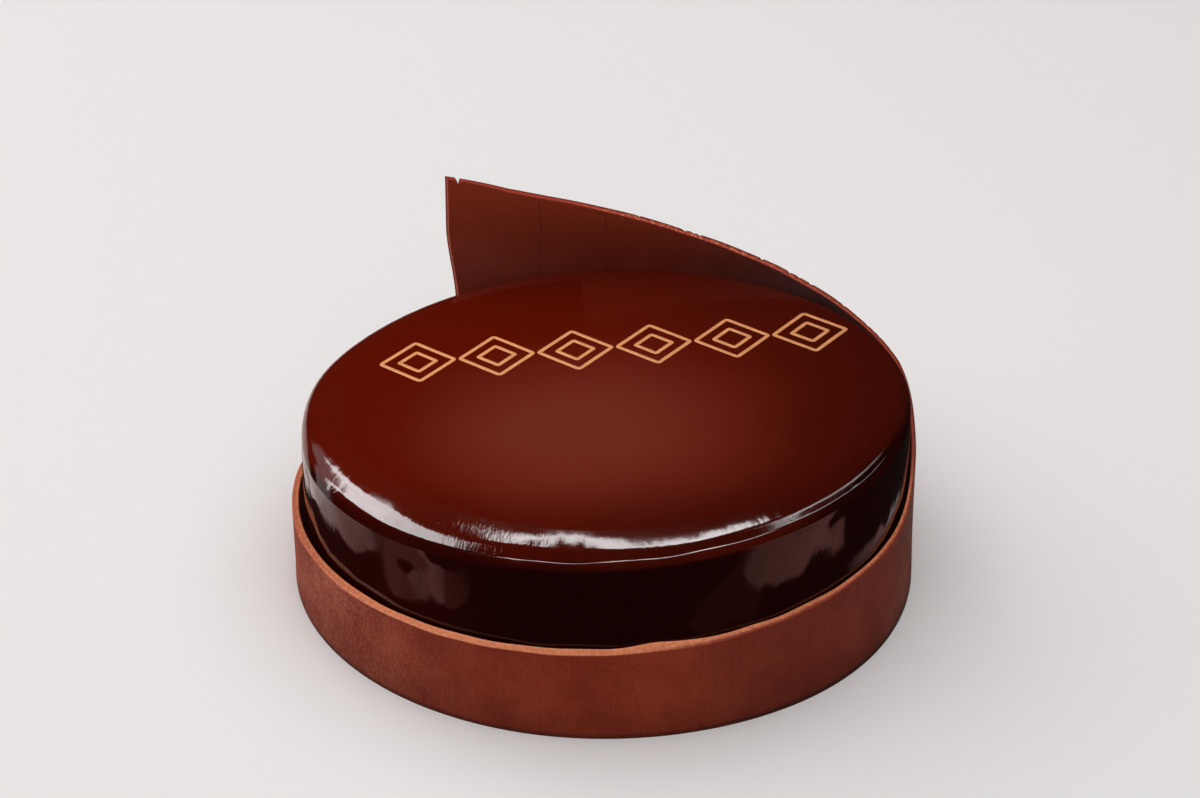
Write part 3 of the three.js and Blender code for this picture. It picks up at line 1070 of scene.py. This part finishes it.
# Glowing strips on the floor that the wall of the torte mirrors; to gloss the rest of the floor is
# dark. Each has its tint and its rows from the back forwards: how far back the row is and where it
# starts and ends across, in millimetres, and how bright it is.
FLOOR_CARDS = (
    ((1.00, 0.80, 0.76), ((300, -400, -75, 0.8), (60, -200, -106, 0.8), (50, -200, -112, 0.9),
                          (28, -180, -116, 1), (19, -170, -127, 1), (10, -170, -131, 1))),
    ((0.88, 0.60, 0.56), ((10, -170, -131, 1), (4, -170, -131, 1), (-8, -170, -131, 0.9))),
    ((0.80, 0.43, 0.39), ((-8, -170, -131, 1), (-40, -170, -131, 1), (-48, -170, -131, 0.8),
                          (-52, -170, -131, 0.4), (-66, -170, -134, 0.25))),
    ((0.55, 0.18, 0.14), ((-60, -145, -120, 0.5), (-68, -145, -110, 1), (-80, -140, -107, 1),
                          (-92, -130, -104, 1))),
    ((1.15, 0.48, 0.42), ((-92, -128, -104, 0.8), (-98, -131, -97, 1), (-104, -126, -93, 0.8),
                          (-112, -124, -108, 0.7), (-117, -124, -110, 0.3))),
    ((0.40, 0.14, 0.11), ((-104, -108, -90, 1), (-122, -110, -84, 0.8), (-130, -106, -84, 0.5))),
    ((0.50, 0.44, 0.43), ((48, 98, 117, 0.8), (40, 102, 119, 1), (24, 110, 124, 1), (4, 116, 125, 0.9))),
    ((0.40, 0.20, 0.19), ((4, 117, 126, 1), (-10, 120, 129, 1), (-24, 121, 130, 0.9),
                          (-40, 121, 130, 0.8), (-50, 120, 127, 0.3))),
    ((0.98, 0.40, 0.34), ((-52, 141, 160, 0.6), (-60, 136, 160, 0.9), (-72, 130, 160, 1),
                          (-84, 120, 158, 1), (-96, 114, 156, 1), (-108, 107, 152, 1),
                          (-116, 101, 148, 0.9), (-126, 102, 140, 0.7), (-132, 108, 132, 0.4))),
    ((0.16, 0.05, 0.03), ((-110, 84, 101, 1), (-124, 60, 100, 1), (-140, 50, 130, 1))),
)


def add_floor(looks):
    """The floor, which gloss doesn't see, and the cards that only gloss sees."""
    everywhere = np.array([(-FAR, -FAR, 0), (FAR, -FAR, 0), (FAR, FAR, 0), (-FAR, FAR, 0)])
    material, s = new_material("plain_floor")
    finish_material(s, {"Base Color": rgba(looks.floor), "Specular IOR Level": 0.0})
    floor = add_piece("floor", everywhere, [np.arange(4)[None, :]], material, body=None)
    floor.visible_glossy = False
    for number, (tint, rows) in enumerate(FLOOR_CARDS):
        name = f"card_floor_{number}"
        back, start, end, glow = np.array(rows, float).T
        points = np.stack([start, back, end, back], axis=-1).reshape(-1, 2)
        points = np.column_stack([points, np.full(len(points), 0.1)]) * MM
        glow_card(name, points, [grid_quads(len(rows), 2)], np.repeat(glow, 2), glow_material(name, tint))


class TORTE_OT_add_stage(Operator):
    """Adds the floor, the soft lights, the cards that only gloss sees, and the camera"""

    bl_idname = "torte.add_stage"
    bl_label = "Studio"

    def execute(self, context):
        settings, looks = context.scene.torte_stage, context.scene.torte_looks
        add_floor(looks)
        room_light(settings)
        for name in SOFT_LIGHTS:
            soft_light(name, *SOFT_LIGHTS[name], getattr(settings, f"{name}_power"))
        add_shoulder_cards(settings.shine)
        add_screen()

        pitch = settings.camera_pitch
        camera = bpy.data.objects.new("camera", bpy.data.cameras.new("camera"))
        camera.location = CAMERA_PLACE
        camera.rotation_euler = (np.pi / 2 - pitch, 0, 0)
        camera.data.sensor_width = 36
        camera.data.lens = settings.lens / MM
        context.scene.collection.objects.link(camera)
        context.scene.camera = camera
        context.scene.view_settings.view_transform = "Standard"
        return {"FINISHED"}


# ---- Panel and registration ----


class TORTE_PT_panel(Panel):
    """Lists the pieces and their sizes"""

    bl_idname = "TORTE_PT_panel"
    bl_label = "Torte"
    bl_space_type = "VIEW_3D"
    bl_region_type = "UI"
    bl_category = "Torte"

    def draw(self, context):
        layout = self.layout
        for operator in OPERATORS:
            layout.operator(operator.bl_idname)
        for group in SETTINGS:
            layout.separator()
            layout.label(text=SETTINGS[group].__doc__)
            for name in SETTINGS[group].__annotations__:
                layout.prop(getattr(context.scene, group), name)


OPERATORS = (TORTE_OT_add_stage, TORTE_OT_add_torte, TORTE_OT_add_band, TORTE_OT_add_pattern)
SETTINGS = {
    "torte_sizes": TorteSizes,
    "band_sizes": BandSizes,
    "pattern_sizes": PatternSizes,
    "torte_looks": Looks,
    "torte_stage": StageSettings,
}


def register():
    for group in SETTINGS:
        bpy.utils.register_class(SETTINGS[group])
        setattr(bpy.types.Scene, group, PointerProperty(type=SETTINGS[group]))
    for cls in (*OPERATORS, TORTE_PT_panel):
        bpy.utils.register_class(cls)


def unregister():
    for cls in (TORTE_PT_panel, *reversed(OPERATORS)):
        bpy.utils.unregister_class(cls)
    for group in reversed(SETTINGS):
        delattr(bpy.types.Scene, group)
        bpy.utils.unregister_class(SETTINGS[group])


def main():
    register()
    bpy.ops.torte.add_stage()
    bpy.ops.torte.add_torte()
    bpy.ops.torte.add_band()
    bpy.ops.torte.add_pattern()


if __name__ == "__main__":
    main()
